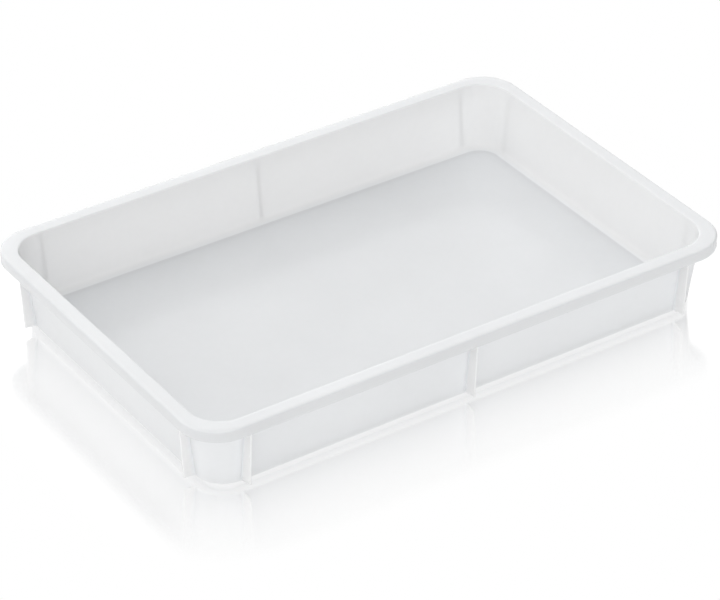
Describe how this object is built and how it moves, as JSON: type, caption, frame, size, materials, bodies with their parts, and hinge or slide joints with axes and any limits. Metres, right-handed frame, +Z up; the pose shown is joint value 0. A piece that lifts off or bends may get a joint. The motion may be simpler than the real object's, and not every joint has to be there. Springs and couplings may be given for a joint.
{
  "type": "developing tray",
  "caption": "Shallow rectangular darkroom tray in translucent white plastic, with drafted walls, a flat skirted rim, outside stiffening ribs and a flat floor.",
  "frame": {"origin": "on the bench, under the middle of the tray", "axes": "+X along the long side, +Y along the short side, +Z up out of the tray's mouth"},
  "size_m": [0.602, 0.4004, 0.082],
  "materials": {
    "basin": "milky translucent polypropylene, satin inside face with a soft gloss",
    "rim": "milky translucent polypropylene, fine satin",
    "ribs": "milky translucent polypropylene, slightly duller moulded face"
  },
  "bodies": {
    "root": {"basin": "basin", "rim": "rim", "front_left_rib": "ribs", "front_middle_rib": "ribs", "front_right_rib": "ribs", "back_left_rib": "ribs", "back_middle_rib": "ribs", "back_right_rib": "ribs", "left_front_rib": "ribs", "left_back_rib": "ribs", "right_front_rib": "ribs", "right_back_rib": "ribs"}
  },
  "joints": []
}
